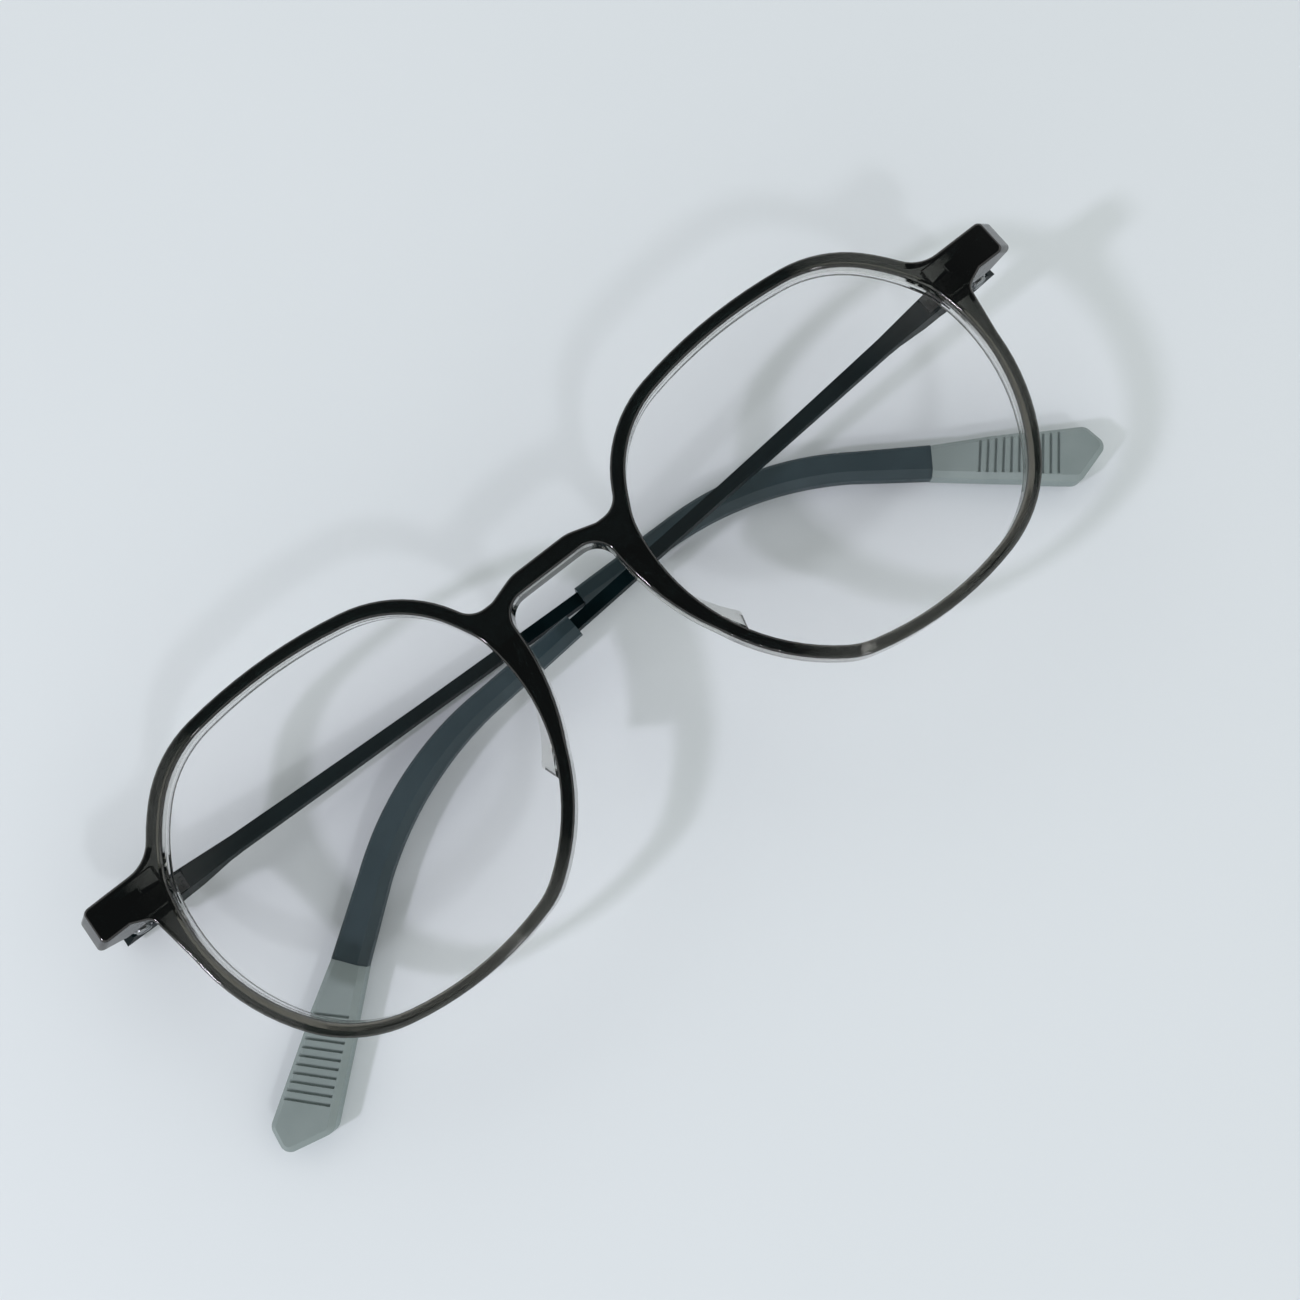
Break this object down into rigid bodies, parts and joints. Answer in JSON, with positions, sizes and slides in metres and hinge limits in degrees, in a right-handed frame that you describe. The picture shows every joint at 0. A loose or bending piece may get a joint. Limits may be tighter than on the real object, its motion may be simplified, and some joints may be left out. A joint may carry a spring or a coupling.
{
  "type": "hexagonal eyeglasses",
  "caption": "Folded eyeglasses with a translucent front, rounded hexagonal rims, thin temple bars, grey sleeves and grooved ear tips.",
  "frame": {"origin": "centre of the object's footprint, at its lowest point", "axes": "+X to the wearer's left along the front, +Y towards the top of the front, +Z out of the front, away from the folded temples"},
  "size_m": [0.1352, 0.0474, 0.0189],
  "materials": {
    "front_plastic": "gloss, translucent grey-brown",
    "lens_glass": "clear, coated",
    "hinge_metal": "satin dark",
    "temple_metal": "satin green-black",
    "sleeve_plastic": "matte slate grey",
    "tip_rubber": "matte grey-green"
  },
  "bodies": {
    "front": {"front_frame": "front_plastic", "lens_right": "lens_glass", "lens_left": "lens_glass", "right_front_hinge": "hinge_metal", "left_front_hinge": "hinge_metal", "right_hinge_screw": "hinge_metal", "left_hinge_screw": "hinge_metal"},
    "right_temple": {"right_temple_hinge": "hinge_metal", "right_temple_bar": "temple_metal", "right_temple_sleeve": "sleeve_plastic", "right_ear_tip": "tip_rubber"},
    "left_temple": {"left_temple_hinge": "hinge_metal", "left_temple_bar": "temple_metal", "left_temple_sleeve": "sleeve_plastic", "left_ear_tip": "tip_rubber"}
  },
  "joints": [
    {"name": "right_temple_fold", "type": "hinge", "parent": "front", "child": "right_temple", "pos_m": [-0.06337, 0.01054, 0.0121], "axis": [0.0314, 0.9995, 0], "range_deg": [0, 88.5]},
    {"name": "left_temple_fold", "type": "hinge", "parent": "front", "child": "left_temple", "pos_m": [0.0635, 0.01054, 0.0121], "axis": [0.0314, -0.9995, 0], "range_deg": [0, 88.5]}
  ],
  "couplings": [
    {"joint": "left_temple_fold", "follows": "right_temple_fold", "ratio": 1}
  ]
}
